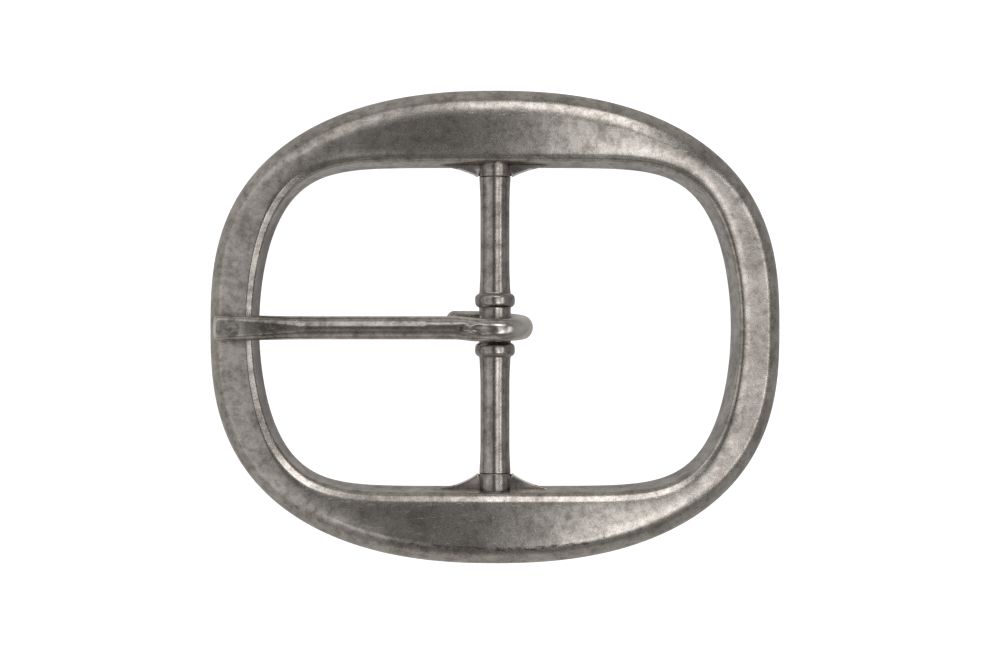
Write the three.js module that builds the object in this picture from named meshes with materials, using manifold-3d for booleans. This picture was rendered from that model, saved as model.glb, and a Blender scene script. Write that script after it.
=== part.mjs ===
// Centre-bar belt buckle: a bowed cast ring, a turned centre bar and a wire prong.
// Millimetres. +X runs along the belt, +Y along the bar and +Z out of the buckle's front.
// The origin is under the middle of the ring, on the plane that its rear pads rest on.

import * as THREE from 'three';
import { LoftGeometry } from 'three/addons/geometries/LoftGeometry.js';
import { mergeVertices } from 'three/addons/utils/BufferGeometryUtils.js';
import Module from 'manifold-3d';

const wasm = await Module();
wasm.setup();

// Ring, seen from the front
const RING_LENGTH = 75.1;
const RING_HEIGHT = 62.0;
const END_SECTION = 6.45;        // width of the metal at the two short ends
const SIDE_SECTION = 10.2;       // width of the metal at the middle of the long sides
const OUTLINE_POWERS = { x: 2.3, y: 2.66 };
const OPENING_POWERS = { x: 6.9, y: 1.95 };

// Ring, seen from the side: the front and the rear are both bowed along X
const FRONT_CREST = 9.1;         // height of the front at the middle
const FRONT_DROP = 4.6;          // how much lower the front is at the two ends
const REAR_CREST = 4.2;          // height of the rear at the middle
const PAD_LEAD = 0.6;            // how far the flat rear pads start before the opening's ends

// Ring's cross-section
const REAR_CHAMFER = 0.5;        // along the opening's rear edge
const WALL_LEAN = 1.6;           // how far the opening's wall leans outwards to the front
const WALL_BELLY = 0.45;         // share of the lean that is left to half the wall's height
const INNER_EDGE = 0.45;         // rounding where the opening's wall meets the front
const CROWN = 0.3;               // how far the front falls from its crown to either side
const SIDE_ROUND = { width: 2.9, depth: 3.3 };   // outer rounding at the long sides
const END_ROUND = { width: 1.1, depth: 1.5 };    // outer rounding at the ends
const REAR_ROUND = 0.9;          // outer rear edge

// Centre bar
const BAR_RADIUS = 1.92;
const BAR_MIDDLE_Y = 0.25;       // the bar sits a little towards one long side
const SHOULDER_FLARE = 0.14;     // added to the radius at the shoulder and beside each collar
const FLARE_LENGTH = 2.6;
const NECK_STEP = 0.16;          // how much thicker the neck between the collars is
const COLLAR_STAND = 0.54;       // how far the collars stand out from the neck
const COLLAR_PLAY = 0.34;        // between the loop and the nearer collar
const COLLAR_LENGTH = 1.6;
const COLLAR_ROUND = 0.38;
const TENON_RADIUS = 1.25;
const TENON_LENGTH = 1.5;

// Lugs and gussets that hold the bar
const FIT_GAP = 0.3;             // between pieces that meet
const LUG_STAND = 1.0;           // how far a lug stands in from the opening's edge
const LUG_WALL = 0.1;            // how much the lug stands out round the bar
const GUSSET_REACH = 5.5;        // along the opening's edge, from the bar's axis
const GUSSET_THICKNESS = 1.7;
const GUSSET_SETBACK = 0.35;     // from the shoulder to where the gusset meets the lug
const LUG_ROOT = 2.6;            // how far the gussets run into the ring

// Prong
const WIRE_WIDTH = 3.06;
const WIRE_THICKNESS = 2.8;
const LOOP_THICKNESS = 2.66;
const LOOP_CLEARANCE = 0.32;     // between the loop and the bar's neck
const LOOP_LIFT = 0.14;          // of the loop above the rest plane
const TIP_SETBACK = 0.6;         // of the tip from the ring's outer edge
const TIP_WIDTH = 3.4;
const TIP_THICKNESS = 2.6;
const TIP_BEND = 3.6;            // from the tip to where the wire bends down to follow the ring
const SEAT_DEPTH = 0.82;         // of the seat below the ring's crown
const TIP_LIFT = 0.15;           // of the tip's end above the line of the ring's front
const TIP_FLAT_LENGTH = 12.2;    // of the pressed flat on the tip's front
const TIP_FLAT_DEPTH = 0.42;
const TIP_REST_DEPTH = 0.2;      // flat on the tip's rear, where it rests in the seat
const TIP_CORNER = 0.5;
const TIP_SPREAD = 13;           // length over which the tip widens
const BEND_START = 5.2;          // from the bar's axis to where the shank bends up to the loop
const SHANK_DROP = 0.83;         // of the shank there below the loop's highest point
const SHANK_SIDE = -0.12;        // sideways place of the shank's middle
const CREST_SIDE = -0.28;        // of the loop's middle where it passes over the bar
const TAIL_SIDE = 0.6;           // of the tail's middle
const LOOP_FROM = 104;           // degrees round the bar from +X, where the loop starts
const LOOP_TO = -118;            // where it ends and the straight tail starts
const TAIL_LENGTH = 5.0;

// Smoothness
const RING_STATIONS = 96;
const ROUND_STEPS = 4;           // of the ring's outer rounding
const LATHE_SIDES = 32;
const WIRE_SIDES = 16;
const SHANK_STATIONS = 16;
const LOOP_STATIONS = 16;

const DEGREE = Math.PI / 180;
const outline = curveOf(RING_LENGTH / 2, RING_HEIGHT / 2, OUTLINE_POWERS);
const opening = curveOf(RING_LENGTH / 2 - END_SECTION, RING_HEIGHT / 2 - SIDE_SECTION, OPENING_POWERS);
const midline = curveOf(
  (outline.halfX + opening.halfX) / 2,
  (outline.halfY + opening.halfY) / 2,
  { x: (OUTLINE_POWERS.x + OPENING_POWERS.x) / 2, y: (OUTLINE_POWERS.y + OPENING_POWERS.y) / 2 },
);

// Where the pieces meet
const shoulder = opening.halfY - LUG_STAND - FIT_GAP;
const neckRadius = BAR_RADIUS + NECK_STEP;
const collarRadius = neckRadius + COLLAR_STAND;
const loopSideways = Math.max(Math.abs(CREST_SIDE - BAR_MIDDLE_Y), Math.abs(TAIL_SIDE - BAR_MIDDLE_Y));
const collarStart = WIRE_WIDTH / 2 + loopSideways + COLLAR_PLAY;
const loopRadius = neckRadius + LOOP_CLEARANCE + LOOP_THICKNESS / 2;
const barHeight = loopRadius + LOOP_THICKNESS / 2 + LOOP_LIFT;
const reach = outline.halfX - TIP_SETBACK;
const seatedMiddle = TIP_THICKNESS / 2 + FIT_GAP - SEAT_DEPTH;
const tipBendHeight = frontHeight(reach - TIP_BEND) + seatedMiddle;
const tipEndHeight = frontHeight(reach) + seatedMiddle + TIP_LIFT;
const shankEndHeight = barHeight + loopRadius - SHANK_DROP;
const tipSlope = (tipBendHeight - tipEndHeight) / TIP_BEND;
const shankSlope = (shankEndHeight - tipBendHeight) / (reach - BEND_START - TIP_BEND);

// ---------------------------------------------------------------- helpers

// An oval in the XY plane: |x / halfX| ** powerX + |y / halfY| ** powerY = 1
function curveOf(halfX, halfY, powers) {
  return { halfX, halfY, powerX: powers.x, powerY: powers.y };
}

// Below 1 inside the oval, above 1 outside
function levelAt(curve, x, y) {
  return Math.abs(x / curve.halfX) ** curve.powerX + Math.abs(y / curve.halfY) ** curve.powerY;
}

// Distance from a point along a direction to the oval, searched between near and far
function distanceTo(curve, start, direction, near, far) {
  let low = near;
  let high = far;
  for (let step = 0; step < 50; step += 1) {
    const middle = (low + high) / 2;
    const inside = levelAt(curve, start.x + direction.x * middle, start.y + direction.y * middle) < 1;
    if (inside) {
      low = middle;
    } else {
      high = middle;
    }
  }
  return (low + high) / 2;
}

// Outward normal of the oval that passes through a point
function normalAt(curve, point) {
  const across = Math.abs(point.x / curve.halfX) ** (curve.powerX - 1) * curve.powerX / curve.halfX;
  const up = Math.abs(point.y / curve.halfY) ** (curve.powerY - 1) * curve.powerY / curve.halfY;
  return new THREE.Vector2(across * Math.sign(point.x), up * Math.sign(point.y)).normalize();
}

function mix(a, b, share) {
  return a + (b - a) * share;
}

function smooth(share) {
  const s = THREE.MathUtils.clamp(share, 0, 1);
  return s * s * (3 - 2 * s);
}

function toSolid(geometry, matrix = new THREE.Matrix4()) {
  const bare = new THREE.BufferGeometry();
  bare.setAttribute('position', geometry.getAttribute('position'));
  bare.setIndex(geometry.getIndex());
  const merged = mergeVertices(bare.applyMatrix4(matrix), 1e-4);
  const vertProperties = new Float32Array(merged.attributes.position.array);
  const triVerts = new Uint32Array(merged.index.array);
  return new wasm.Manifold(new wasm.Mesh({ numProp: 3, vertProperties, triVerts }));
}

function toGeometry(solid) {
  const mesh = solid.getMesh();
  const geometry = new THREE.BufferGeometry();
  geometry.setAttribute('position', new THREE.BufferAttribute(new Float32Array(mesh.vertProperties), 3));
  geometry.setIndex(new THREE.BufferAttribute(new Uint32Array(mesh.triVerts), 1));
  geometry.computeVertexNormals();
  return geometry;
}

function placedAt(x, y, z) {
  return new THREE.Matrix4().makeTranslation(x, y, z);
}

// ---------------------------------------------------------------- ring

function frontHeight(x) {
  return FRONT_CREST - FRONT_DROP * (x / outline.halfX) ** 2;
}

// The rear's own bow, which the rest plane cuts off to leave a flat pad at each end
function rearHeight(x) {
  const padStart = opening.halfX - PAD_LEAD;
  return Math.max(0, REAR_CREST * (1 - (x / padStart) ** 2));
}

// One closed section across the ring, at an angle round its middle
function ringSection(angle) {
  const ray = new THREE.Vector2(Math.cos(angle), Math.sin(angle));
  const start = ray.clone().multiplyScalar(distanceTo(midline, new THREE.Vector2(), ray, 0, RING_LENGTH));
  const normal = normalAt(midline, start);
  const inward = distanceTo(opening, start, normal, -SIDE_SECTION - END_SECTION, 0);
  const outward = distanceTo(outline, start, normal, 0, SIDE_SECTION + END_SECTION);
  const width = outward - inward;
  const sideways = Math.abs(normal.y);
  const roundWidth = mix(END_ROUND.width, SIDE_ROUND.width, sideways);
  const roundDepth = mix(END_ROUND.depth, SIDE_ROUND.depth, sideways);

  // across runs from the opening's edge outwards; a height is above the rear or below the front
  const points = [];
  const place = (across, fromFront, fromRear, share) => {
    const x = start.x + normal.x * (inward + across);
    const y = start.y + normal.y * (inward + across);
    const z = mix(frontHeight(x) - fromFront, rearHeight(x) + fromRear, share);
    points.push(new THREE.Vector3(x, y, z));
  };
  place(REAR_CHAMFER, 0, 0, 1);
  place(0, 0, REAR_CHAMFER, 1);
  place(WALL_LEAN * WALL_BELLY, 0, 0, 0.5);
  place(WALL_LEAN, CROWN + INNER_EDGE, 0, 0);
  place(WALL_LEAN + INNER_EDGE, CROWN / 2, 0, 0);
  place(mix(WALL_LEAN + INNER_EDGE, width - roundWidth, 0.45), 0, 0, 0);
  for (let step = 0; step <= ROUND_STEPS; step += 1) {
    const turn = step / ROUND_STEPS * Math.PI / 2;
    const across = width - roundWidth * (1 - Math.sin(turn));
    place(across, CROWN + (roundDepth - CROWN) * (1 - Math.cos(turn)), 0, 0);
  }
  place(width, 0, REAR_ROUND, 1);
  place(width - REAR_ROUND, 0, 0, 1);
  return points;
}

function makeRing() {
  const sections = [];
  for (let station = 0; station < RING_STATIONS; station += 1) {
    sections.push(ringSection(station / RING_STATIONS * Math.PI * 2));
  }
  sections.push(sections[0]);
  return toSolid(new LoftGeometry(sections));
}

// Round-ended lug in line with the bar, with a thin hollow-edged gusset on each side of it
function makeLug(side) {
  const radius = BAR_RADIUS + SHOULDER_FLARE + LUG_WALL;
  const face = shoulder + FIT_GAP + BAR_MIDDLE_Y * side;
  const wall = opening.halfY;
  const length = wall + WALL_LEAN - face;
  const round = toSolid(
    new THREE.CylinderGeometry(radius, radius, length, LATHE_SIDES),
    placedAt(0, side * (face + length / 2), barHeight),
  );
  const end = toSolid(
    new THREE.SphereGeometry(radius, LATHE_SIDES, LATHE_SIDES / 2),
    placedAt(0, side * (face + length), barHeight),
  );
  const edge = face + GUSSET_SETBACK;
  const shape = new THREE.Shape();
  shape.moveTo(-GUSSET_REACH, wall + LUG_ROOT);
  shape.lineTo(-GUSSET_REACH, wall);
  shape.quadraticCurveTo(-radius * 1.5, wall, -radius, edge);
  shape.lineTo(radius, edge);
  shape.quadraticCurveTo(radius * 1.5, wall, GUSSET_REACH, wall);
  shape.lineTo(GUSSET_REACH, wall + LUG_ROOT);
  const plate = new THREE.ExtrudeGeometry(shape, {
    depth: GUSSET_THICKNESS,
    bevelEnabled: false,
    curveSegments: 6,
  });
  plate.translate(0, 0, barHeight - GUSSET_THICKNESS / 2);
  if (side < 0) {
    plate.rotateZ(Math.PI);
  }
  return round.add(end).add(toSolid(plate));
}

function makeSocket(side) {
  const radius = TENON_RADIUS + FIT_GAP;
  const bottom = shoulder + TENON_LENGTH + FIT_GAP + BAR_MIDDLE_Y * side;
  const mouth = shoulder - FIT_GAP + BAR_MIDDLE_Y * side;
  return toSolid(
    new THREE.CylinderGeometry(radius, radius, bottom - mouth, LATHE_SIDES),
    placedAt(0, side * (bottom + mouth) / 2, barHeight),
  );
}

// Shallow seat across one end of the ring, in which the prong's tip rests: a groove for a straight
// stretch of the wire that runs through the bend with the given slope
function makeSeat(slope) {
  const groove = new THREE.CylinderGeometry(1, 1, END_SECTION * 3, LATHE_SIDES);
  groove.rotateZ(Math.PI / 2);
  groove.scale(1, TIP_WIDTH / 2 + FIT_GAP, TIP_THICKNESS / 2 + FIT_GAP);
  groove.rotateY(-Math.atan(slope));
  return toSolid(groove, placedAt(TIP_BEND - reach, SHANK_SIDE, tipBendHeight));
}

function makeFrame() {
  let frame = makeRing();
  for (const side of [1, -1]) {
    frame = frame.add(makeLug(side));
  }
  for (const side of [1, -1]) {
    frame = frame.subtract(makeSocket(side));
  }
  for (const slope of [tipSlope, shankSlope]) {
    frame = frame.subtract(makeSeat(slope));
  }
  return toGeometry(frame);
}

// ---------------------------------------------------------------- centre bar

function makeBar() {
  const flared = BAR_RADIUS + SHOULDER_FLARE;
  const collarEnd = collarStart + COLLAR_LENGTH;
  const half = [
    [TENON_RADIUS, shoulder + TENON_LENGTH],
    [TENON_RADIUS, shoulder],
    [flared, shoulder],
    [BAR_RADIUS, shoulder - FLARE_LENGTH],
    [BAR_RADIUS, collarEnd + FLARE_LENGTH],
    [flared, collarEnd],
    [collarRadius - COLLAR_ROUND / 3, collarEnd - COLLAR_ROUND / 3],
    [collarRadius, collarEnd - COLLAR_ROUND],
    [collarRadius, collarStart + COLLAR_ROUND],
    [collarRadius - COLLAR_ROUND / 3, collarStart + COLLAR_ROUND / 3],
    [neckRadius, collarStart],
  ];
  const upper = half.map(([radius, height]) => new THREE.Vector2(radius, height));
  const lower = half.map(([radius, height]) => new THREE.Vector2(radius, -height)).reverse();
  const top = shoulder + TENON_LENGTH;
  const profile = [new THREE.Vector2(0, top), ...upper, ...lower, new THREE.Vector2(0, -top)];
  return new THREE.LatheGeometry(profile.reverse(), LATHE_SIDES);
}

// ---------------------------------------------------------------- prong

// Stations along the wire's middle, measured from the bar's axis: along is X, up is Z
function wireStations() {
  const stations = [];
  const fromTip = [0, TIP_CORNER * 0.3, TIP_CORNER];
  for (let step = 1; step <= SHANK_STATIONS; step += 1) {
    fromTip.push(mix(TIP_CORNER, reach - BEND_START, step / SHANK_STATIONS));
  }
  for (const distance of fromTip) {
    const slope = distance < TIP_BEND ? tipSlope : shankSlope;
    const corner = Math.sqrt(1 - (1 - Math.min(1, distance / TIP_CORNER)) ** 2);
    const spread = smooth(1 - distance / TIP_SPREAD);
    const trim = TIP_CORNER * (1 - corner);
    const flat = TIP_FLAT_DEPTH * Math.max(0, 1 - distance / TIP_FLAT_LENGTH);
    const rest = TIP_REST_DEPTH * smooth(1 - (distance - END_SECTION) / END_SECTION);
    const halfWidth = mix(WIRE_WIDTH, TIP_WIDTH, spread) / 2 - trim;
    const halfThickness = mix(WIRE_THICKNESS, TIP_THICKNESS, spread) / 2;
    stations.push({
      along: -reach + distance,
      up: tipBendHeight - barHeight + (distance - TIP_BEND) * slope,
      side: SHANK_SIDE,
      halfWidth,
      halfThickness: halfThickness - trim,
      top: halfThickness - trim / 2 - flat,
      bottom: halfThickness - trim / 2 - rest,
    });
  }
  for (let step = 0; step <= LOOP_STATIONS; step += 1) {
    const turn = mix(LOOP_FROM, LOOP_TO, step / LOOP_STATIONS) * DEGREE;
    stations.push(loopStation(turn, Math.cos(turn) * loopRadius, Math.sin(turn) * loopRadius));
  }
  const end = LOOP_TO * DEGREE;
  for (const distance of [TAIL_LENGTH / 2, TAIL_LENGTH - TIP_CORNER, TAIL_LENGTH]) {
    const station = loopStation(
      end,
      Math.cos(end) * loopRadius + Math.sin(end) * distance,
      Math.sin(end) * loopRadius - Math.cos(end) * distance,
    );
    const trim = distance === TAIL_LENGTH ? TIP_CORNER / 2 : 0;
    station.halfWidth -= trim;
    station.halfThickness -= trim;
    stations.push(station);
  }
  return stations;
}

function loopStation(turn, along, up) {
  const quarter = Math.PI / 2;
  const side = turn > quarter
    ? mix(CREST_SIDE, SHANK_SIDE, (turn - quarter) / quarter)
    : mix(CREST_SIDE, TAIL_SIDE, smooth((quarter - turn) / (Math.PI + quarter / 2)));
  const halfThickness = LOOP_THICKNESS / 2;
  return {
    along, up, side, halfThickness, halfWidth: WIRE_WIDTH / 2, top: halfThickness, bottom: halfThickness,
  };
}

function makeProng() {
  const stations = wireStations();
  const sections = stations.map((station, index) => {
    const before = stations[Math.max(0, index - 1)];
    const after = stations[Math.min(stations.length - 1, index + 1)];
    const tangent = new THREE.Vector2(after.along - before.along, after.up - before.up).normalize();
    const points = [];
    for (let side = 0; side < WIRE_SIDES; side += 1) {
      const turn = side / WIRE_SIDES * Math.PI * 2;
      const round = Math.sin(turn) * station.halfThickness;
      const lift = THREE.MathUtils.clamp(round, -station.bottom, station.top);
      points.push(new THREE.Vector3(
        station.along - tangent.y * lift,
        station.side + Math.cos(turn) * station.halfWidth,
        station.up + tangent.x * lift,
      ));
    }
    return points;
  });
  return toGeometry(toSolid(new LoftGeometry(sections, { capStart: true, capEnd: true })));
}

// ---------------------------------------------------------------- assembly

function finish(color, roughness) {
  return new THREE.MeshStandardMaterial({ color, roughness, metalness: 1 });
}

function addPiece(group, name, geometry, material) {
  const mesh = new THREE.Mesh(geometry, material);
  mesh.name = name;
  group.add(mesh);
  return mesh;
}

const buckle = new THREE.Group();
addPiece(buckle, 'frame', makeFrame(), finish(0x8f8a84, 0.42));

const onBar = new THREE.Group();
onBar.position.set(0, 0, barHeight);
buckle.add(onBar);
const bar = addPiece(onBar, 'centre_bar', makeBar(), finish(0x7c7771, 0.3));
bar.position.y = BAR_MIDDLE_Y;
addPiece(onBar, 'prong', makeProng(), finish(0x7c7771, 0.32));

export default buckle;
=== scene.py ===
# The looks of the centre-bar belt buckle: fine meshes, antique silver materials, light and camera.
# Everything is in metres in the CAD frame: +X along the belt, +Y along the bar, +Z out of the front.

import math

import bmesh
import bpy
import numpy as np
from mathutils import Matrix, Vector


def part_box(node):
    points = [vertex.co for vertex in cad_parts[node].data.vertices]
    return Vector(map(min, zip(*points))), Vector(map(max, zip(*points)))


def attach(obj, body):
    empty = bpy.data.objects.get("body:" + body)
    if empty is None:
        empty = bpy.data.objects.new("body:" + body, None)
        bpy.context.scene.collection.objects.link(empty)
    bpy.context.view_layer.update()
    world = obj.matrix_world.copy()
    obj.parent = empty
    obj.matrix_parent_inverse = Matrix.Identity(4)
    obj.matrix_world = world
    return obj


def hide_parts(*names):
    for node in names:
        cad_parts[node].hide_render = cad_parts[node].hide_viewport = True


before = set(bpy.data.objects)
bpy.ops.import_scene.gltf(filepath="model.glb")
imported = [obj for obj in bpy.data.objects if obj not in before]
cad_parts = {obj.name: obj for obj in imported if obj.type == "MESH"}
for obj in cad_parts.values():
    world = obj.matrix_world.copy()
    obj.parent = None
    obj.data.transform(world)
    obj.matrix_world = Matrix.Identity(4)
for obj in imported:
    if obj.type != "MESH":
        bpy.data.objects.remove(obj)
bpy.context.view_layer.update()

MM = 0.001

# ---------------------------------------------------------------- sizes

ring_low, ring_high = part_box("frame")
bar_low, bar_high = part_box("centre_bar")
_, prong_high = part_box("prong")

RING_X = (ring_high.x - ring_low.x) / 2          # half the ring's length
RING_Y = (ring_high.y - ring_low.y) / 2
FRONT_CREST = ring_high.z                        # height of the front at the middle
END_SECTION = 6.45 * MM                          # width of the metal at the short ends
SIDE_SECTION = 10.2 * MM                         # width of the metal at the long sides
OUTLINE_POWERS = (2.3, 2.66)                     # of x and of y in the ovals' equations
OPENING_POWERS = (6.9, 1.95)
FRONT_DROP = 4.6 * MM                            # how much lower the front is at the ends
REAR_CREST = 4.2 * MM                            # height of the hollow rear at the middle
PAD_LEAD = 0.6 * MM                              # how far the flat rear pads run inside the opening

BAR_RADIUS = 1.92 * MM
BAR_HEIGHT = (bar_low.z + bar_high.z) / 2        # of its axis
BAR_MIDDLE = (bar_low.y + bar_high.y) / 2        # along Y
BAR_END = (bar_high.y - bar_low.y) / 2           # from its middle to the end of each tenon
COLLAR_RADIUS = (bar_high.z - bar_low.z) / 2
TENON_LENGTH = 1.5 * MM
TENON_RADIUS = 1.25 * MM
SHOULDER = BAR_END - TENON_LENGTH

LOOP_REACH = prong_high.x                        # from the bar's axis to the loop's outside


# ---------------------------------------------------------------- mesh helpers

def mix(a, b, share):
    return a + (b - a) * share


def smooth(share):
    s = np.clip(share, 0.0, 1.0)
    return s * s * (3 - 2 * s)


def mesh_object(name, vertices, faces):
    mesh = bpy.data.meshes.new(name)
    mesh.from_pydata([tuple(v) for v in vertices], [], faces)
    mesh.validate()
    work = bmesh.new()
    work.from_mesh(mesh)
    bmesh.ops.recalc_face_normals(work, faces=work.faces)
    work.to_mesh(mesh)
    work.free()
    for polygon in mesh.polygons:
        polygon.use_smooth = True
    piece = bpy.data.objects.new(name, mesh)
    bpy.context.scene.collection.objects.link(piece)
    return piece


def loft(name, sections, looped):
    """A closed skin over sections, an array of shape (stations, points, 3). A loft that isn't looped
    gets a flat cap at each end."""
    stations, points, _ = sections.shape
    vertices = sections.reshape(-1, 3)
    faces = []
    for i in range(stations if looped else stations - 1):
        here = i * points
        there = (i + 1) % stations * points
        for j in range(points):
            k = (j + 1) % points
            faces.append((here + j, here + k, there + k, there + j))
    if not looped:
        faces.append(tuple(range(points))[::-1])
        faces.append(tuple((stations - 1) * points + j for j in range(points)))
    return mesh_object(name, vertices, faces)


def lathe(name, profile, sides):
    """A solid of revolution about the Y axis from (radius, y) pairs that start and end on the axis."""
    ends = [profile[0], profile[-1]]
    middle = np.array(profile[1:-1])
    turns = np.arange(sides) / sides * math.tau
    rings = np.stack(
        [
            middle[:, :1] * np.cos(turns),
            np.repeat(middle[:, 1:], sides, axis=1),
            middle[:, :1] * np.sin(turns),
        ],
        axis=-1,
    )
    vertices = [tuple(v) for v in rings.reshape(-1, 3)]
    faces = []
    for i in range(len(middle) - 1):
        for j in range(sides):
            k = (j + 1) % sides
            faces.append((i * sides + j, i * sides + k, (i + 1) * sides + k, (i + 1) * sides + j))
    for end, row in ((ends[0], 0), (ends[1], len(middle) - 1)):
        centre = len(vertices)
        vertices.append((0.0, end[1], 0.0))
        for j in range(sides):
            faces.append((centre, row * sides + j, row * sides + (j + 1) % sides))
    return mesh_object(name, vertices, faces)


def rounded(corners, steps):
    """Rounds a polyline's inner corners. Each corner is (x, y, distance cut before, distance cut after)."""
    out = [corners[0][:2]]
    for before, corner, after in zip(corners, corners[1:], corners[2:]):
        place = np.array(corner[:2])
        back = np.array(before[:2]) - place
        ahead = np.array(after[:2]) - place
        start = place + back / np.linalg.norm(back) * min(corner[2], np.linalg.norm(back) / 2)
        stop = place + ahead / np.linalg.norm(ahead) * min(corner[3], np.linalg.norm(ahead) / 2)
        if corner[2] == 0:
            out.append(tuple(place))
            continue
        for step in range(steps + 1):
            t = step / steps
            out.append(tuple((1 - t) ** 2 * start + 2 * t * (1 - t) * place + t ** 2 * stop))
    out.append(corners[-1][:2])
    return out


def combine(piece, other, operation):
    """Joins other to piece, or cuts it out of piece, as one closed mesh."""
    modifier = piece.modifiers.new("combine", "BOOLEAN")
    modifier.operation = operation
    modifier.solver = "EXACT"
    modifier.object = other
    graph = bpy.context.evaluated_depsgraph_get()
    made = bpy.data.meshes.new_from_object(piece.evaluated_get(graph))
    piece.modifiers.clear()
    piece.data = made
    bpy.data.objects.remove(other)


def positions(piece):
    flat = np.empty(len(piece.data.vertices) * 3)
    piece.data.vertices.foreach_get("co", flat)
    return flat.reshape(-1, 3)


# ---------------------------------------------------------------- ring

class Oval:
    """|x / half_x| ** power_x + |y / half_y| ** power_y = 1"""

    def __init__(self, half_x, half_y, powers):
        self.half_x = half_x
        self.half_y = half_y
        self.power_x, self.power_y = powers

    def level(self, x, y):
        return np.abs(x / self.half_x) ** self.power_x + np.abs(y / self.half_y) ** self.power_y

    def gradient(self, x, y):
        across = self.power_x / self.half_x * np.abs(x / self.half_x) ** (self.power_x - 1)
        up = self.power_y / self.half_y * np.abs(y / self.half_y) ** (self.power_y - 1)
        return np.stack([across * np.sign(x), up * np.sign(y)], axis=-1)

    def reach(self, start, direction, near, far):
        """Distance from each start along each direction to the oval, by bisection."""
        low = np.full(len(start), near)
        high = np.full(len(start), far)
        for _ in range(48):
            middle = (low + high) / 2
            place = start + direction * middle[:, None]
            inside = self.level(place[:, 0], place[:, 1]) < 1
            low = np.where(inside, middle, low)
            high = np.where(inside, high, middle)
        return (low + high) / 2

    def distance(self, x, y):
        """About how far a point is outside the oval."""
        steepness = np.linalg.norm(self.gradient(x, y), axis=-1)
        return (self.level(x, y) - 1) / np.maximum(steepness, 1e-6)


outline = Oval(RING_X, RING_Y, OUTLINE_POWERS)
opening = Oval(RING_X - END_SECTION, RING_Y - SIDE_SECTION, OPENING_POWERS)
midline = Oval(
    (outline.half_x + opening.half_x) / 2,
    (outline.half_y + opening.half_y) / 2,
    ((OUTLINE_POWERS[0] + OPENING_POWERS[0]) / 2, (OUTLINE_POWERS[1] + OPENING_POWERS[1]) / 2),
)

RING_STATIONS = 560
BEVEL_SLOPE = 0.36                               # of the soft bevels beside the front
CORNER_STEPS = 8
CORNER_PULL = 0.8                                # below 1, a rounded corner stays farther from its point
EDGE_STEPS = 5


def front_height(x):
    return FRONT_CREST - FRONT_DROP * (x / outline.half_x) ** 2


def rear_height(x):
    pad_start = opening.half_x - PAD_LEAD
    return np.maximum(0.0, REAR_CREST * (1 - (x / pad_start) ** 2))


def ring_profile(width, rightward, upward):
    """Corners of the ring's cross-section. Each is (distance out from the opening's edge, how far below
    the front, how far above the rear, share of the front's height, cut before, cut after), in mm.
    rightward and upward are the parts of the outward direction along X and Y."""
    wide = width / MM
    zero = np.zeros_like(wide)
    one = np.ones_like(wide)
    sideways = np.abs(upward)
    leftward = np.maximum(0, -rightward) ** 2
    downward = np.maximum(0, -upward)
    inner_start = mix(1.0, 0.95, sideways) + 0.14 * rightward
    inner_end = mix(1.75, 2.2, sideways) + 0.15 * rightward + 0.15 * downward
    inner_slope = BEVEL_SLOPE + 0.25 * leftward + 0.05 * downward
    crease_drop = 0.12 * (1 - rightward ** 2)
    inner_drop = crease_drop + (inner_end - inner_start) * inner_slope
    bevel = mix(1.35, 2.4 + 0.25 * upward, sideways ** 2)
    rim = mix(0.75, 0.95, sideways)
    rim_drop = 0.08 + (bevel - rim) * mix(0.5, BEVEL_SLOPE, sideways ** 2)
    foot_cut = mix(0.4 + 0.15 * downward, 0.15, leftward)
    crease_cut_before = mix(0.45, 0.08, leftward)
    crease_cut_after = mix(mix(0.6, 1.5, sideways), 0.15, leftward)
    bevel_cut_before = mix(0.35, 0.7, sideways) + 0.4 * upward
    bevel_cut_after = 0.6 + 0.25 * upward
    return [
        (zero, zero, zero, zero, 0.45 * one, 0.45 * one),
        (0.55 + zero, zero, zero, 0.5 + zero, 1.0 * one, 1.0 * one),
        (inner_start, inner_drop, zero, one, 0.4 * one, foot_cut),
        (inner_end, crease_drop, zero, one, crease_cut_before, crease_cut_after),
        (wide * 0.55, zero, zero, one, 1.0 * one, 1.0 * one),
        (wide - bevel, 0.08 + zero, zero, one, bevel_cut_before, bevel_cut_after),
        (wide - rim, rim_drop, zero, one, 0.7 * one, 0.6 * one),
        (wide, rim_drop + 1.4, zero, one, 1.1 * one, 1.1 * one),
        (wide, zero, zero, zero, 0.9 * one, 0.9 * one),
    ]


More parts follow.
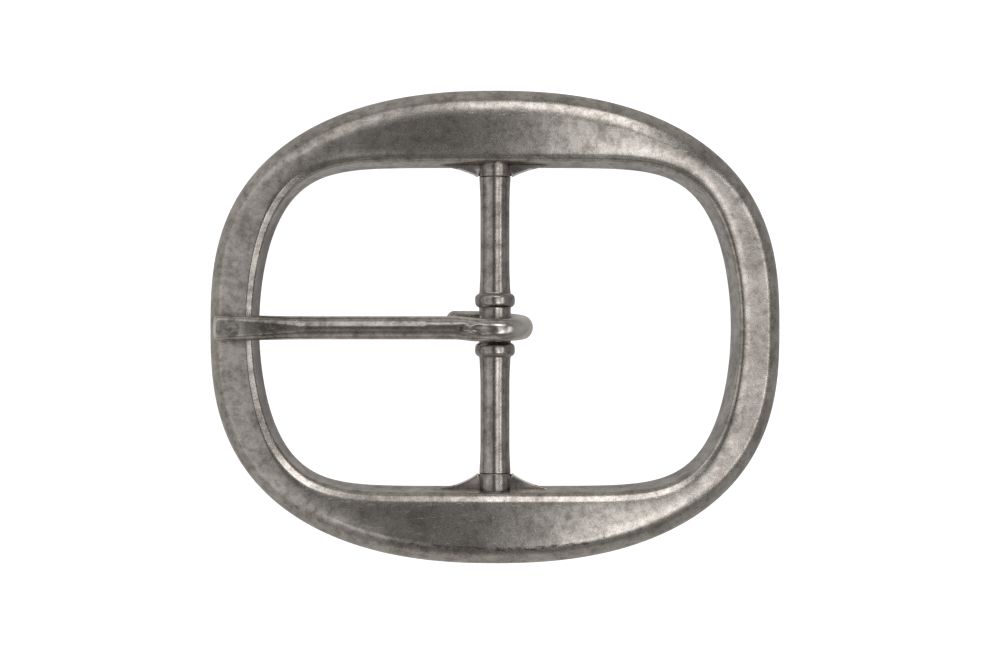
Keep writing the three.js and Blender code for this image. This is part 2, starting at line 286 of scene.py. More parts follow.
def ring_sections():
    angles = np.arange(RING_STATIONS) / RING_STATIONS * math.tau
    rays = np.stack([np.cos(angles), np.sin(angles)], axis=-1)
    origin = np.zeros_like(rays)
    start = rays * midline.reach(origin, rays, 0.0, 2 * RING_X)[:, None]
    normal = midline.gradient(start[:, 0], start[:, 1])
    normal /= np.linalg.norm(normal, axis=-1)[:, None]
    reach = END_SECTION + SIDE_SECTION
    inward = opening.reach(start, normal, -reach, 0.0)
    outward = outline.reach(start, normal, 0.0, reach)
    width = outward - inward
    corners = [
        np.stack(np.broadcast_arrays(*corner), axis=-1)
        for corner in ring_profile(width, normal[:, 0], normal[:, 1])
    ]

    def place(values):
        across = values[:, 0] * MM
        x = start[:, 0] + normal[:, 0] * (inward + across)
        y = start[:, 1] + normal[:, 1] * (inward + across)
        front = front_height(x) - values[:, 1] * MM
        rear = rear_height(x) + values[:, 2] * MM
        return np.stack([x, y, mix(rear, front, values[:, 3])], axis=-1)

    rows = []
    count = len(corners)
    starts, stops = [], []
    for index, corner in enumerate(corners):
        before = corners[index - 1]
        after = corners[(index + 1) % count]
        back = np.linalg.norm(place(before) - place(corner), axis=-1) / MM
        ahead = np.linalg.norm(place(after) - place(corner), axis=-1) / MM
        starts.append(corner + (before - corner) * np.minimum(0.5, corner[:, 4] / back)[:, None])
        stops.append(corner + (after - corner) * np.minimum(0.5, corner[:, 5] / ahead)[:, None])
    for index, corner in enumerate(corners):
        for step in range(CORNER_STEPS + 1):
            t = step / CORNER_STEPS
            weight = 2 * t * (1 - t) * CORNER_PULL
            total = (1 - t) ** 2 + weight + t ** 2
            rows.append(
                place(((1 - t) ** 2 * starts[index] + weight * corner + t ** 2 * stops[index]) / total)
            )
        following = starts[(index + 1) % count]
        for step in range(1, EDGE_STEPS):
            rows.append(place(mix(stops[index], following, step / EDGE_STEPS)))
    return np.stack(rows, axis=1)


# Lugs and gussets that hold the bar
LUG_FACE = SHOULDER + 0.03 * MM                  # a hairline past the bar's shoulder
LUG_RADIUS = 2.16 * MM
LUG_ROOT = 1.6 * MM                              # how deep the lugs' round ends start in the ring's wall
LUG_SIDES = 64
GUSSET_REACH = 7.8 * MM                          # along X from the bar's axis
GUSSET_THICKNESS = 1.7 * MM
GUSSET_ROOT = 2.2 * MM                           # how deep they go into the ring's wall
GUSSET_TOE = 0.5 * MM                            # depth in the wall at which their edge curve starts
GUSSET_LEAD = 0.15 * MM                          # how far they run past the lug's face
GUSSET_NOTCH = 0.3 * MM                          # how far behind the lug's face their inner end goes in
GUSSET_EDGE = 0.3 * MM                           # width of their rounded edges
SOCKET_PLAY = 0.05 * MM                          # round each tenon and past its end
SOCKET_LEAD = 0.5 * MM                           # how far the socket's cut starts before the shoulder
SOCKET_SIDES = 48
SOCKET_TURN = 1.7                                # degrees, so that its corners miss the lug's corners


def make_lug(side):
    face = LUG_FACE + BAR_MIDDLE * side
    end = opening.half_y + LUG_ROOT
    profile = [(0.0, face)]
    profile += rounded(
        [(0.0, face), (LUG_RADIUS, face, 0.12 * MM, 0.12 * MM), (LUG_RADIUS, end)], 3
    )[1:]
    for step in range(1, 12):
        turn = step / 12 * math.pi / 2
        profile.append((LUG_RADIUS * math.cos(turn), end + LUG_RADIUS * math.sin(turn)))
    profile.append((0.0, end + LUG_RADIUS))
    lug = lathe("lug", profile, LUG_SIDES)
    lug.data.transform(Matrix.Translation((0, 0, BAR_HEIGHT)))
    if side < 0:
        lug.data.transform(Matrix.Rotation(math.pi, 4, "Z"))
    return lug


def make_gusset(side):
    wall = opening.half_y
    face = LUG_FACE + BAR_MIDDLE * side
    start = np.array((GUSSET_REACH, wall + GUSSET_TOE))
    control = np.array((LUG_RADIUS * 1.9, wall - 0.12 * MM))
    stop = np.array((LUG_RADIUS + 0.04 * MM, face - GUSSET_LEAD))
    half = [(GUSSET_REACH, wall + GUSSET_ROOT)]
    steps = 16
    for step in range(steps + 1):
        t = step / steps
        half.append(tuple((1 - t) ** 2 * start + 2 * t * (1 - t) * control + t ** 2 * stop))
    half.append((LUG_RADIUS, face + GUSSET_NOTCH))
    outline_points = half + [(-x, y) for x, y in reversed(half)]
    bottom = BAR_HEIGHT - GUSSET_THICKNESS / 2
    vertices = []
    for z in (bottom, bottom + GUSSET_THICKNESS):
        vertices += [(x, y * side, z) for x, y in outline_points]
    count = len(outline_points)
    faces = [tuple(range(count)), tuple(range(count, 2 * count))]
    for i in range(count):
        k = (i + 1) % count
        faces.append((i, k, count + k, count + i))
    gusset = mesh_object("gusset", vertices, faces)
    bevel = gusset.modifiers.new("round_edges", "BEVEL")
    bevel.width = GUSSET_EDGE
    bevel.segments = 3
    bevel.limit_method = "ANGLE"
    graph = bpy.context.evaluated_depsgraph_get()
    gusset.data = bpy.data.meshes.new_from_object(gusset.evaluated_get(graph))
    gusset.modifiers.clear()
    return gusset


def make_socket(side):
    radius = TENON_RADIUS + SOCKET_PLAY
    bottom = BAR_END + SOCKET_PLAY + BAR_MIDDLE * side
    mouth = SHOULDER - SOCKET_LEAD + BAR_MIDDLE * side
    profile = [(0.0, mouth), (radius, mouth), (radius, bottom), (0.0, bottom)]
    socket = lathe("socket", profile, SOCKET_SIDES)
    socket.data.transform(Matrix.Rotation(math.radians(SOCKET_TURN), 4, "Y"))
    socket.data.transform(Matrix.Translation((0, 0, BAR_HEIGHT)))
    if side < 0:
        socket.data.transform(Matrix.Rotation(math.pi, 4, "Z"))
    return socket


# ---------------------------------------------------------------- prong

WIRE_WIDTH = 3.06 * MM
WIRE_THICKNESS = 2.8 * MM
LOOP_THICKNESS = 2.66 * MM
TIP_WIDTH = 3.4 * MM
TIP_THICKNESS = 2.6 * MM
TIP_BEND = 3.6 * MM
TIP_BEND_ROUNDING = 0.9 * MM
FACET_INSET = 0.3 * MM                           # length of the bevel in front of the flat's end
FACET_CORNER = 1.1 * MM                          # rounding of the flat's end
FACET_RISE = 0.1 * MM                            # the bevel's plane above the flat, where they would meet
FACET_MARGIN = 0.1 * MM                          # from the wire's side to the bevel
FACET_SLOPE = 0.6
TIP_CORNER = 0.8 * MM
TAIL_CORNER = 0.9 * MM
TIP_SPREAD = 13 * MM                             # length over which the wire widens to the tip
TIP_FLAT_LENGTH = 12.6 * MM
TIP_FLAT_DEPTH = 0.42 * MM
TIP_REST = 0.2 * MM                              # depth of the flat under the tip
FLAT_ROUNDING = 0.12 * MM                        # softness of the flat's borders
FLAT_ROUNDING_FROM = 0.08 * MM                   # depth from which the borders have all of it
SLOPE_START = 0.15 * MM                          # least distance of the slope from the wire's middle
SLOPE_WIDTH = 0.22 * MM                          # of the slope inside the flat's border
SLOPE_FALL = 0.35
SLOPE_BEND = 0.05 * MM
SLOPE_FADE = 4 * MM                              # length before the loop over which the slope ends
BEND_START = 5.2 * MM
LOOP_BLEND = 3 * MM
CREST_LENGTH = 5.2 * MM                          # from the start of the loop to its crest
TAIL_BLEND = 8 * MM                              # taken off the length over which the loop shifts aside
SHANK_DROP = 0.83 * MM
SHANK_SIDE = -0.12 * MM                          # the wire's place along Y at the shank, crest and tail
CREST_SIDE = -0.36 * MM
TAIL_SIDE = 0.6 * MM
LOOP_FROM = 104.0                                # degrees round the bar's axis, 0 towards +X, 90 up
LOOP_TO = -118.0
LOOP_STEPS = 40
TAIL_LENGTH = 5.0 * MM
SEAT_DEPTH = 0.82 * MM
SEAT_GAP = 0.3 * MM
SEAT_PLAY = 0.12 * MM                            # between the tip and its seat in the ring
TIP_LIFT = 0.15 * MM
WIRE_SIDES = 72
WIRE_STEP = 0.12 * MM
WIRE_SMOOTHING = 30

loop_radius = LOOP_REACH - LOOP_THICKNESS / 2
tip_reach = RING_X - 0.6 * MM
seated_middle = TIP_THICKNESS / 2 + SEAT_GAP - SEAT_DEPTH
tip_bend_height = front_height(tip_reach - TIP_BEND) + seated_middle
tip_end_height = front_height(tip_reach) + seated_middle + TIP_LIFT
shank_end_height = BAR_HEIGHT + loop_radius - SHANK_DROP
tip_slope = (tip_bend_height - tip_end_height) / TIP_BEND
shank_slope = (shank_end_height - tip_bend_height) / (tip_reach - BEND_START - TIP_BEND)


def wire_path():
    """Points (x, z) along the wire's middle, evenly spaced, from the tip round the loop to the tail."""
    bend_x = -(tip_reach - TIP_BEND)
    corners = [
        (-tip_reach, tip_end_height),
        (bend_x, tip_bend_height, TIP_BEND_ROUNDING, TIP_BEND_ROUNDING),
        (-BEND_START, shank_end_height),
    ]
    path = rounded(corners, 8)
    for step in range(LOOP_STEPS + 1):
        turn = math.radians(mix(LOOP_FROM, LOOP_TO, step / LOOP_STEPS))
        path.append((math.cos(turn) * loop_radius, BAR_HEIGHT + math.sin(turn) * loop_radius))
    end = math.radians(LOOP_TO)
    tail = (path[-1][0] + math.sin(end) * TAIL_LENGTH, path[-1][1] - math.cos(end) * TAIL_LENGTH)
    path.append(tail)
    path = np.array(path)
    lengths = np.concatenate([[0], np.cumsum(np.linalg.norm(np.diff(path, axis=0), axis=1))])
    even = np.arange(0, lengths[-1], WIRE_STEP)
    even = np.append(even, lengths[-1])
    points = np.stack([np.interp(even, lengths, path[:, 0]), np.interp(even, lengths, path[:, 1])], 1)
    for _ in range(WIRE_SMOOTHING):
        points[2:-2] = (points[1:-3] + 2 * points[2:-2] + points[3:-1]) / 4
    return points, even


def hill(x, y, middle, size):
    """1 at the middle, falling smoothly to 0 over about size in each direction."""
    return np.exp(-((x - middle[0]) / size[0]) ** 2 - ((y - middle[1]) / size[1]) ** 2)


def dents(x, y):
    """How deep the loop's marks are: a round dimple, a groove on the crown and a pointed ridge."""
    dimple = 0.14 * MM * hill(x, y, (-3.95 * MM, -0.35 * MM), (0.75 * MM, 0.7 * MM))
    groove = 0.12 * MM * hill(x, y, (-1.5 * MM, -0.34 * MM), (1.8 * MM, 0.34 * MM))
    spread = np.clip((x + 3.5 * MM) / (2.6 * MM), 0, 1) * 1.35 * MM
    edge = np.abs(y + 0.3 * MM) - spread
    ridge = 0.11 * MM * np.exp(-(edge / (0.34 * MM)) ** 2) * hill(x, 0, (-2.6 * MM, 0), (1.3 * MM, MM))
    return dimple + groove - ridge


def make_seat():
    """The groove across the ring's end in which the prong's tip lies, bent as the wire is."""
    reach = END_SECTION * 1.5
    turns = np.arange(64) / 64 * math.tau
    sections = np.empty((3, len(turns), 3))
    for i, (offset, slope) in enumerate(((-reach, tip_slope), (0.0, 0.0), (reach, shank_slope))):
        sections[i, :, 0] = TIP_BEND - tip_reach + offset
        sections[i, :, 1] = SHANK_SIDE + np.cos(turns) * (TIP_WIDTH / 2 + SEAT_PLAY)
        height = tip_bend_height + offset * slope
        sections[i, :, 2] = height + np.sin(turns) * (TIP_THICKNESS / 2 + SEAT_PLAY)
    return loft("seat", sections, looped=False)


def soft_ramp(value, softness):
    """0 below zero and rising as value above it, with a soft bend between."""
    return softness * np.log1p(np.exp(np.clip(value / softness, -40, 40)))


def round_off(radius, from_end):
    """How far a side is drawn in at that distance from an end rounded to that radius."""
    left = max(0.0, radius - from_end)
    return radius - math.sqrt(max(0.0, radius ** 2 - left ** 2))


def make_prong():
    points, along = wire_path()
    total = along[-1]
    tangent = np.gradient(points, axis=0)
    tangent /= np.linalg.norm(tangent, axis=1)[:, None]
    turns = np.arange(WIRE_SIDES) / WIRE_SIDES * math.tau
    shank_length = tip_reach - BEND_START
    loop_share = smooth((along - shank_length) / LOOP_BLEND)
    spread = smooth(1 - along / TIP_SPREAD)
    half_width = mix(WIRE_WIDTH, TIP_WIDTH, spread) / 2
    half_thick = mix(mix(WIRE_THICKNESS, TIP_THICKNESS, spread), LOOP_THICKNESS, loop_share) / 2
    past_crest = along - shank_length - CREST_LENGTH
    tail_share = np.clip(past_crest / (total - shank_length - TAIL_BLEND), 0, 1)
    side = mix(mix(SHANK_SIDE, CREST_SIDE, loop_share), TAIL_SIDE, smooth(tail_share))
    flat = TIP_FLAT_DEPTH * np.clip(1 - along / TIP_FLAT_LENGTH, 0, 1)
    rest = TIP_REST * smooth(2 - along / END_SECTION)
    slope_fade = MM * smooth((along - shank_length + SLOPE_FADE) / SLOPE_FADE)
    sections = np.empty((len(points), WIRE_SIDES, 3))
    for i in range(len(points)):
        across = np.cos(turns)
        upward = np.sin(turns)
        from_end = min(along[i], total - along[i])
        corner = TIP_CORNER if along[i] < total / 2 else TAIL_CORNER
        trim = round_off(corner, from_end)
        wide = across * (half_width[i] - trim)
        lift = upward * (half_thick[i] - trim * 0.8)
        top = half_thick[i] - trim * 0.6 - flat[i]
        # the pressed flat is a plane with softly rounded borders
        soft = FLAT_ROUNDING * min(1.0, flat[i] / FLAT_ROUNDING_FROM)
        if soft > 0:
            knee = top - soft
            lift = np.where(lift > knee, knee + soft * np.tanh((lift - top + soft) / soft), lift)
        # a narrow slope on the +Y side, along the flat's border and then the shank, fades before the loop
        border = half_width[i] * math.sqrt(max(0.0, 1 - (top / half_thick[i]) ** 2))
        slope_start = max(SLOPE_START, border - SLOPE_WIDTH)
        slope = top - SLOPE_FALL * soft_ramp(wide - slope_start, SLOPE_BEND) + slope_fade[i]
        lift = np.minimum(lift, slope)
        # the flat's own end is rounded, with a bevel around it
        inside = min(along[i] - FACET_INSET, FACET_CORNER)
        if along[i] < FACET_INSET + FACET_CORNER:
            facet_edge = half_width[i] - FACET_MARGIN - round_off(FACET_CORNER, inside)
            past_edge = np.maximum(0.0, np.abs(wide) - facet_edge)
            facet = top + FACET_RISE + FACET_SLOPE * min(0.0, inside) - FACET_SLOPE * past_edge
            lift = np.minimum(lift, facet)
        bottom = half_thick[i] - trim * 0.6 - rest[i]
        lift = np.maximum(lift, -bottom)
        if points[i, 1] > BAR_HEIGHT:
            lift = lift - np.clip(upward, 0, 1) * dents(points[i, 0], side[i] + wide)
        sections[i, :, 0] = points[i, 0] - tangent[i, 1] * lift
        sections[i, :, 1] = side[i] + wide
        sections[i, :, 2] = points[i, 1] + tangent[i, 0] * lift
    return loft("prong_wire", sections, looped=False)


# ---------------------------------------------------------------- bar

FLARED_RADIUS = BAR_RADIUS + 0.14 * MM           # at the shoulders and beside the collars
NECK_RADIUS = BAR_RADIUS + 0.16 * MM             # between the collars
COLLAR_START = 2.4 * MM                          # from the bar's middle
COLLAR_STOP = 4.0 * MM
FLARE_LENGTH = 2.8 * MM
BAR_SIDES = 96
BAR_STEP = 0.3 * MM


def make_bar():
    corners = [
        (0.0, BAR_END),
        (TENON_RADIUS, BAR_END, 0.2 * MM, 0.2 * MM),
        (TENON_RADIUS, SHOULDER, 0, 0),
        (FLARED_RADIUS, SHOULDER, 0.14 * MM, 0.14 * MM),
        (BAR_RADIUS, SHOULDER - FLARE_LENGTH, 1.3 * MM, 1.3 * MM),
        (BAR_RADIUS, COLLAR_STOP + FLARE_LENGTH, 1.3 * MM, 1.3 * MM),
        (FLARED_RADIUS, COLLAR_STOP + 0.16 * MM, 0.3 * MM, 0.1 * MM),
        (COLLAR_RADIUS - 0.26 * MM, COLLAR_STOP + 0.02 * MM, 0.1 * MM, 0.12 * MM),
        (COLLAR_RADIUS - 0.05 * MM, COLLAR_STOP - 0.22 * MM, 0.15 * MM, 0.12 * MM),
        (COLLAR_RADIUS, COLLAR_STOP - 0.5 * MM, 0.12 * MM, 0.15 * MM),
        (COLLAR_RADIUS, COLLAR_START + 0.55 * MM, 0.15 * MM, 0.15 * MM),
        (COLLAR_RADIUS - 0.08 * MM, COLLAR_START + 0.22 * MM, 0.15 * MM, 0.15 * MM),
        (COLLAR_RADIUS - 0.32 * MM, COLLAR_START, 0.12 * MM, 0.08 * MM),
        (NECK_RADIUS, COLLAR_START - 0.08 * MM, 0.08 * MM, 0.3 * MM),
        (NECK_RADIUS, 0.0),
    ]
    half = rounded(corners, 6)
    fine = []
    for before, after in zip(half, half[1:]):
        steps = max(1, round(abs(after[1] - before[1]) / BAR_STEP))
        for step in range(steps):
            fine.append((mix(before[0], after[0], step / steps), mix(before[1], after[1], step / steps)))
    profile = fine + [half[-1]] + [(radius, -y) for radius, y in reversed(fine)]
    bar = lathe("turned_bar", profile, BAR_SIDES)
    bar.data.transform(Matrix.Translation((0, BAR_MIDDLE, BAR_HEIGHT)))
    return bar


# ---------------------------------------------------------------- materials

class Nodes:
    """Short ways to add and join shader nodes of one material."""

    def __init__(self, name):
        self.material = bpy.data.materials.new(name)
        self.material.use_nodes = True
        self.tree = self.material.node_tree
        self.shader = self.tree.nodes["Principled BSDF"]
        coordinates = self.add("ShaderNodeTexCoord")
        scale = self.add("ShaderNodeVectorMath", operation="SCALE")
        scale.inputs["Scale"].default_value = 1 / MM
        self.join(coordinates.outputs["Object"], scale.inputs[0])
        self.place = scale.outputs[0]            # position in mm

    def add(self, kind, **settings):
        node = self.tree.nodes.new(kind)
        for key, value in settings.items():
            setattr(node, key, value)
        return node

    def join(self, source, target):
        self.tree.links.new(source, target)

    def value(self, source, target):
        """Feeds a socket from another socket or sets it to a number."""
        if isinstance(source, bpy.types.NodeSocket):
            self.join(source, target)
        else:
            target.default_value = source

    def noise(self, scale, detail=3.0, roughness=0.55, stretch=None, turn=None, offset=0.0):
        place = self.place
        if stretch or turn or offset:
            mapping = self.add("ShaderNodeMapping")
            self.join(place, mapping.inputs["Vector"])
            mapping.inputs["Location"].default_value = (offset, offset * 0.7, offset * 1.3)
            mapping.inputs["Rotation"].default_value = turn or (0, 0, 0)
            mapping.inputs["Scale"].default_value = stretch or (1, 1, 1)
            place = mapping.outputs[0]
        node = self.add("ShaderNodeTexNoise")
        self.join(place, node.inputs["Vector"])
        node.inputs["Scale"].default_value = scale
        node.inputs["Detail"].default_value = detail
        node.inputs["Roughness"].default_value = roughness
        return node.outputs["Fac"]

    def ramp(self, source, low, high, to_low=0.0, to_high=1.0):
        node = self.add("ShaderNodeMapRange", interpolation_type="SMOOTHSTEP")
        self.value(source, node.inputs["Value"])
        for key, number in (("From Min", low), ("From Max", high), ("To Min", to_low), ("To Max", to_high)):
            node.inputs[key].default_value = number
        return node.outputs["Result"]

    def math(self, operation, a, b=0.0, clamp=False):
        node = self.add("ShaderNodeMath", operation=operation, use_clamp=clamp)
        self.value(a, node.inputs[0])
        self.value(b, node.inputs[1])
        return node.outputs[0]

    def blend(self, share, a, b):
        node = self.add("ShaderNodeMix", data_type="RGBA")
        self.value(share, node.inputs["Factor"])
        for source, target in ((a, node.inputs["A"]), (b, node.inputs["B"])):
            if isinstance(source, tuple):
                target.default_value = (*source, 1.0)
            else:
                self.join(source, target)
        return node.outputs["Result"]

    def attribute(self, name):
        node = self.add("ShaderNodeAttribute", attribute_name=name)
        return node.outputs["Fac"]


WORN_SILVER = (0.9, 0.87, 0.83)
DIMPLE_PATINA_AT = (-4.0, -0.4, 0.0)             # in mm, as the three below
FLAT_SHADE_END = -35.6                          # X from which the painted shade on the flat is rounded
TIP_BEND_AT = -33.2                              # X of the tip's bend, where the painted shade on the flat is lighter: a painted reflection of the bend
CREASE_OUTSET = 2.05                             # from the outline in to the crease's patina


def antique_silver(name, silver, tarnish, gloss, relief, dark_marks_and_shade=None, worn_and_highlit=None, metallic=1.0):
    """Plated metal, blackened and then polished back: bright on open faces, dark in creases. gloss is
    the roughness of clean metal, and relief is the bump's height. The optional marking functions, if given,
    take the
    nodes: the first returns a share of dark patina, stripes and painted shade, the second a share of bright
    worn metal and painted highlight."""
    n = Nodes(name)
    clouds = n.noise(0.3, detail=2.0, roughness=0.5)
    patches = n.noise(1.0, detail=3.0, roughness=0.55, offset=7.0)
    grain = n.noise(2.8, detail=3.0, roughness=0.6, offset=3.0)
    grit = n.noise(7.0, detail=2.0, roughness=0.6, offset=13.0)
    scratches = []
    for turn, offset in ((0.5, 11.0), (-0.9, 23.0), (1.9, 37.0)):
        line = n.noise(1.1, detail=2.0, stretch=(0.25, 4.5, 1.0), turn=(0, 0, turn), offset=offset)
        scratches.append(n.ramp(line, 0.68, 0.74))
    scratch = n.math("MAXIMUM", n.math("MAXIMUM", scratches[0], scratches[1]), scratches[2])

    hollow = n.add("ShaderNodeAmbientOcclusion", samples=6)
    hollow.inputs["Distance"].default_value = 1.3 * MM
    dark = n.ramp(hollow.outputs["AO"], 0.35, 0.95, 0.6, 0.0)
    for source, low, high, share in (
        (clouds, 0.32, 0.68, 0.34),
        (patches, 0.38, 0.7, 0.34),
        (grain, 0.35, 0.75, 0.25),
        (grit, 0.4, 0.8, 0.08),
    ):
        dark = n.math("ADD", dark, n.math("MULTIPLY", n.ramp(source, low, high), share))
    if dark_marks_and_shade:
        # adds the dark marks: patina, stripes and painted shade
        dark = n.math("ADD", dark, dark_marks_and_shade(n))
    dark = n.math("MULTIPLY", dark, n.math("SUBTRACT", 1.0, n.math("MULTIPLY", scratch, 0.5)), clamp=True)
    rough = n.math("ADD", gloss, n.math("MULTIPLY", dark, 0.06))
    rough = n.math("ADD", rough, n.math("MULTIPLY", n.math("SUBTRACT", grit, 0.5), 0.12))
    colour = n.blend(dark, silver, tarnish)
    if worn_and_highlit:
        # bright worn metal, which on the tip's end also carries a painted highlight
        wear_and_highlight = worn_and_highlit(n)
        colour = n.blend(n.math("MULTIPLY", wear_and_highlight, n.ramp(patches, 0.2, 0.6, 0.5, 1.0)), colour, WORN_SILVER)
        rough = n.math("ADD", rough, n.math("MULTIPLY", wear_and_highlight, 0.16))
    n.join(colour, n.shader.inputs["Base Color"])
    n.join(rough, n.shader.inputs["Roughness"])
    n.shader.inputs["Metallic"].default_value = metallic

    height = n.math("ADD", n.math("MULTIPLY", grit, 0.1), n.math("MULTIPLY", grain, 0.4))
    height = n.math("ADD", height, patches)
    height = n.math("SUBTRACT", height, n.math("MULTIPLY", scratch, 0.35))
    bump = n.add("ShaderNodeBump")
    bump.inputs["Strength"].default_value = 0.5
    bump.inputs["Distance"].default_value = relief
    n.join(height, bump.inputs["Height"])
    n.join(bump.outputs["Normal"], n.shader.inputs["Normal"])
    return n.material


def split_place(n):
    """Sockets for X and Y, in mm."""
    parts = n.add("ShaderNodeSeparateXYZ")
    n.join(n.place, parts.inputs[0])
    return parts.outputs["X"], parts.outputs["Y"]


def ring_marks_and_shade(n):
    """Darker stripes along the opening's wall, parallel to its edge, painted shade on the wall at the tip's
    end, and patina left in the crease outside the front, on the middle of the -Y side."""
    x, y = split_place(n)
    inset = n.attribute("inset")
    outset = n.attribute("outset")
    stripe = n.add("ShaderNodeTexNoise", noise_dimensions="1D")
    n.join(n.math("MULTIPLY", inset, 4.5), stripe.inputs["W"])
    stripe.inputs["Detail"].default_value = 2.0
    wall = n.math("MULTIPLY", n.ramp(stripe.outputs["Fac"], 0.4, 0.6), n.ramp(inset, 1.0, 0.85))
    # painted shade: the wall at the tip's end is darkened
    end_wall_shade = n.math("MULTIPLY", n.ramp(inset, 0.85, 0.6), n.ramp(x, -27.0, -31.0, 0.0, 0.45))
    edge = n.math("ABSOLUTE", n.math("SUBTRACT", outset, CREASE_OUTSET))
    near = n.ramp(edge, 0.5, 0.1)
    fleck = n.ramp(n.noise(1.6, detail=3.0, roughness=0.7, stretch=(0.45, 1, 1), offset=51.0), 0.52, 0.6)
    low_side = n.ramp(y, -22.0, -27.0)
    middle = n.ramp(n.math("ABSOLUTE", n.math("ADD", x, -2.0)), 16.0, 10.0)
    crease = n.math("MULTIPLY", n.math("MULTIPLY", near, fleck), n.math("MULTIPLY", low_side, middle))
    return n.math("ADD", n.math("ADD", n.math("MULTIPLY", wall, 0.35), end_wall_shade), crease)


def wire_patina_and_shade(n):
    """Patina left in the dimple, and painted shade on the pressed flat of the tip, whose end is rounded and
    which is lighter at the tip's bend.
    """
    x, y = split_place(n)
    away = n.add("ShaderNodeVectorMath", operation="DISTANCE")
    flat = n.add("ShaderNodeVectorMath", operation="MULTIPLY")
    n.join(n.place, flat.inputs[0])
    flat.inputs[1].default_value = (1.0, 1.0, 0.0)
    n.join(flat.outputs[0], away.inputs[0])
    away.inputs[1].default_value = DIMPLE_PATINA_AT
    dimple = n.ramp(away.outputs["Value"], 1.0, 0.2, 0.0, 0.8)
    tip = n.ramp(x, -18.0, -30.0)
    past_end = n.math("MAXIMUM", n.math("SUBTRACT", FLAT_SHADE_END, x), 0.0)
    off_axis = n.math("ADD", y, 0.12)
    past_squared = n.math("MULTIPLY", past_end, past_end)
    off_squared = n.math("MULTIPLY", off_axis, off_axis)
    from_middle = n.math("SQRT", n.math("ADD", past_squared, off_squared))
    middle = n.ramp(from_middle, 1.4, 1.0)
    # painted reflection: less painted shade on the flat around the tip's bend
    bend = n.ramp(n.math("ABSOLUTE", n.math("SUBTRACT", x, TIP_BEND_AT)), 0.2, 0.7, 0.35, 1.0)
    # painted shade: the pressed flat of the tip is darkened, rounded at its end
    flat_painted_shade = n.math("MULTIPLY", n.math("MULTIPLY", tip, middle), n.math("MULTIPLY", bend, 0.36))
    return n.math("ADD", dimple, flat_painted_shade)


def loop_wear_and_tip_highlight(n):
    """Where the strap rubs: the outside of the loop, worn bright; and the end of the tip, worn and with a
    painted highlight.
    """
    x, _ = split_place(n)
    # the second ramp is a painted highlight along the tip's rounded end, as well as wear
    return n.math("ADD", n.ramp(x, 1.4, 4.0), n.ramp(x, -36.5, -36.8))


def floor_material():
    n = Nodes("pale_floor")
    n.join(
        n.blend(n.noise(0.01), (0.93, 0.93, 0.93), (0.96, 0.96, 0.96)), n.shader.inputs["Base Color"]
    )
    n.shader.inputs["Roughness"].default_value = 0.9
    n.shader.inputs["Emission Color"].default_value = (1.0, 1.0, 1.0, 1.0)
    n.shader.inputs["Emission Strength"].default_value = 0.85
    return n.material


# ---------------------------------------------------------------- pieces

ring = loft("cast_ring", ring_sections(), looped=True)
for end_side in (1, -1):
    combine(ring, make_gusset(end_side), "UNION")
    combine(ring, make_lug(end_side), "UNION")
for end_side in (1, -1):
    combine(ring, make_socket(end_side), "DIFFERENCE")
combine(ring, make_seat(), "DIFFERENCE")
turned_bar = make_bar()
prong_wire = make_prong()

place = positions(ring)
for attribute, values in (
    ("inset", opening.distance(place[:, 0], place[:, 1])),
    ("outset", -outline.distance(place[:, 0], place[:, 1])),
):
    layer = ring.data.attributes.new(attribute, "FLOAT", "POINT")
    layer.data.foreach_set("value", (values / MM).astype(np.float32))

silver_ring = antique_silver(
    "antique_silver_ring",
    silver=(0.66, 0.62, 0.575),
    tarnish=(0.2, 0.172, 0.15),
    gloss=0.25,
    relief=0.02 * MM,
    dark_marks_and_shade=ring_marks_and_shade,
)
silver_bar = antique_silver(
    "antique_silver_bar",
    silver=(0.6, 0.56, 0.52),
    tarnish=(0.15, 0.13, 0.115),
    gloss=0.235,
    relief=0.006 * MM,
)
silver_wire = antique_silver(
    "antique_silver_wire",
    silver=(0.78, 0.74, 0.69),
    tarnish=(0.2, 0.18, 0.16),
    gloss=0.21,
    relief=0.005 * MM,
    dark_marks_and_shade=wire_patina_and_shade,
    worn_and_highlit=loop_wear_and_tip_highlight,
)
matt_silver = antique_silver(
    "matt_silver",
    silver=(0.9, 0.87, 0.83),
    tarnish=(0.55, 0.52, 0.48),
    gloss=0.5,
    relief=0.01 * MM,
    metallic=0.35,
)

SHARP_ANGLE = 38.0                               # degrees
WALL_MARGIN = 0.02 * MM                          # faces farther inside the opening aren't the ring's wall

for piece, material, body, node, slot in (
    (ring, silver_ring, "ring", "frame", "cast_ring"),
    (turned_bar, silver_bar, "ring", "centre_bar", "turned_bar"),
    (prong_wire, silver_wire, "prong", "prong", "prong_wire"),
):
    piece.data.materials.clear()
    piece.data.materials.append(material)
    for polygon in piece.data.polygons:
        polygon.use_smooth = True
        polygon.material_index = 0
    piece.data.set_sharp_from_angle(angle=math.radians(SHARP_ANGLE))
    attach(piece, body)
    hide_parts(node)

# inside the opening, the webs are matt and the lugs have the bar's finish
ring.data.materials.append(matt_silver)
ring.data.materials.append(silver_bar)
for polygon in ring.data.polygons:
    x, y, _ = polygon.center
    if opening.distance(x, y) < -WALL_MARGIN:
        polygon.material_index = 1 if abs(x) > LUG_RADIUS else 2


# ---------------------------------------------------------------- stage, light and camera

FLOOR_SIZE = 6.0
FLOOR_GAP = 0.05 * MM                            # so that the pads and the floor don't share a plane
floor_mesh = bpy.data.meshes.new("floor")
corner = FLOOR_SIZE / 2
floor_mesh.from_pydata(
    [(-corner, -corner, 0), (corner, -corner, 0), (corner, corner, 0), (-corner, corner, 0)],
    [],
    [(0, 1, 2, 3)],
)
floor = bpy.data.objects.new("floor", floor_mesh)
bpy.context.scene.collection.objects.link(floor)
floor.location.z = -FLOOR_GAP
floor_mesh.materials.append(floor_material())
floor.visible_glossy = False


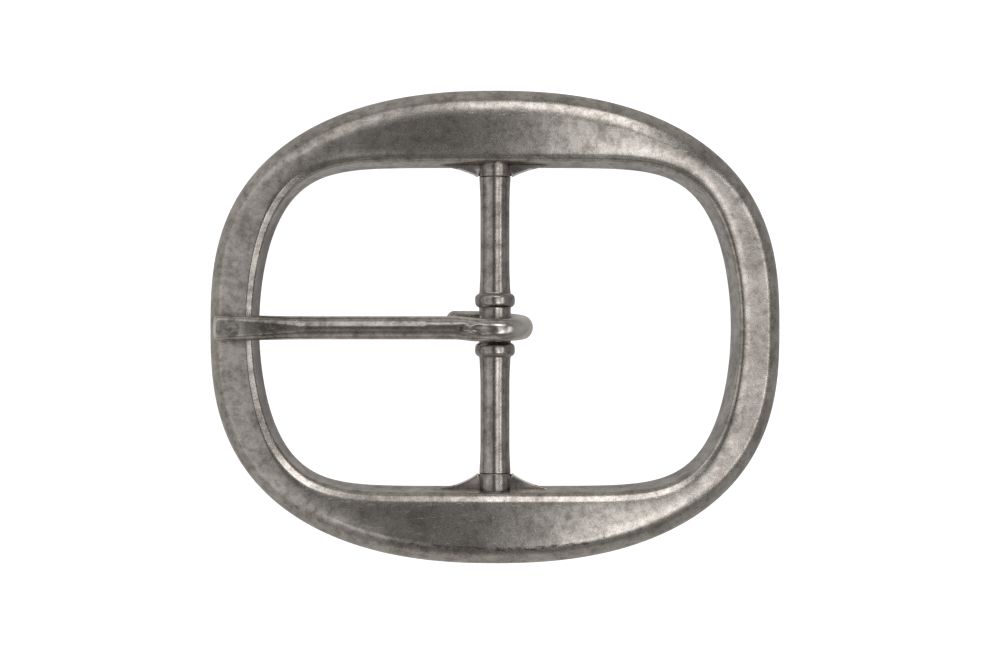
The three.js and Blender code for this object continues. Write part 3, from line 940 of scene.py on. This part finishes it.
def make_world():
    """A dim sky overhead, a lighter horizon and ground, darker toward the right."""
    world = bpy.data.worlds.new("studio")
    world.use_nodes = True
    tree = world.node_tree
    background = tree.nodes["Background"]
    background.inputs["Color"].default_value = (1.0, 0.98, 0.95, 1.0)
    direction = tree.nodes.new("ShaderNodeTexCoord")
    parts = tree.nodes.new("ShaderNodeSeparateXYZ")
    tree.links.new(direction.outputs["Generated"], parts.inputs[0])
    rise = tree.nodes.new("ShaderNodeMapRange")
    tree.links.new(parts.outputs["Z"], rise.inputs["Value"])
    turn = tree.nodes.new("ShaderNodeMapRange")
    tree.links.new(parts.outputs["X"], turn.inputs["Value"])
    for node, numbers in ((rise, (0.2, 0.82, 0.46, 0.07)), (turn, (0.1, 0.7, 1.0, 0.7))):
        for key, number in zip(("From Min", "From Max", "To Min", "To Max"), numbers):
            node.inputs[key].default_value = number
    product = tree.nodes.new("ShaderNodeMath")
    product.operation = "MULTIPLY"
    tree.links.new(rise.outputs["Result"], product.inputs[0])
    tree.links.new(turn.outputs["Result"], product.inputs[1])
    tree.links.new(product.outputs[0], background.inputs["Strength"])
    bpy.context.scene.world = world


make_world()

TARGET = Vector((0, 0, 4 * MM))


def add_light(name, position, size_x, size_y, radiance):
    """A soft box that faces the buckle, its width level along X. radiance is how bright it looks."""
    data = bpy.data.lights.new(name, "AREA")
    data.shape = "RECTANGLE"
    data.size = size_x
    data.size_y = size_y
    data.energy = radiance * size_x * size_y * math.pi
    light = bpy.data.objects.new(name, data)
    bpy.context.scene.collection.objects.link(light)
    light.location = position
    back = (position - TARGET).normalized()
    level = (Vector((1, 0, 0)) - back * back.x).normalized()
    light.rotation_euler = Matrix((level, back.cross(level), back)).transposed().to_euler()
    light.visible_camera = False
    return light


def from_above(right, up, distance):
    """A place at that distance, tilted from straight above by those angles, in degrees."""
    x = math.tan(math.radians(right))
    y = math.tan(math.radians(up))
    return TARGET + Vector((x, y, 1.0)).normalized() * distance


add_light("top_box", from_above(16, 38, 1.2), 0.62, 0.4, 2.4)
add_light("top_left_box", from_above(-18, 40, 1.2), 0.85, 0.36, 0.65)
add_light("right_box", from_above(16, -8, 1.2), 0.31, 1.1, 0.95)
add_light("right_edge_box", from_above(8.5, -8, 1.2), 0.1, 1.1, 0.5)
add_light("bevel_box", from_above(45, -2, 1.2), 0.18, 0.9, 2.1)
add_light("far_right_box", from_above(31.5, -8, 1.2), 0.36, 1.2, 0.4)
add_light("low_right_box", from_above(22, -15, 1.15), 0.3, 0.44, 1.7)
add_light("left_wall", from_above(-42, 0, 1.2), 1.03, 1.8, 0.45)
add_light("low_left_box", from_above(-22, -22, 1.2), 0.4, 0.4, 0.35)

CAMERA_DISTANCE = 0.7                            # above the target
CAMERA_ASIDE = (0.66 * MM, -0.86 * MM)           # X and Y, which frame the buckle a little off the middle
PICTURE_WIDTH = 131.6 * MM                       # width of the picture at the target's height
camera_data = bpy.data.cameras.new("camera")
camera = bpy.data.objects.new("camera", camera_data)
bpy.context.scene.collection.objects.link(camera)
camera.location = (*CAMERA_ASIDE, TARGET.z + CAMERA_DISTANCE)
camera_data.sensor_width = 36.0
camera_data.lens = camera_data.sensor_width * CAMERA_DISTANCE / PICTURE_WIDTH
camera_data.clip_start = 0.01
camera_data.clip_end = 20.0
bpy.context.scene.camera = camera
bpy.context.scene.view_settings.view_transform = "Standard"
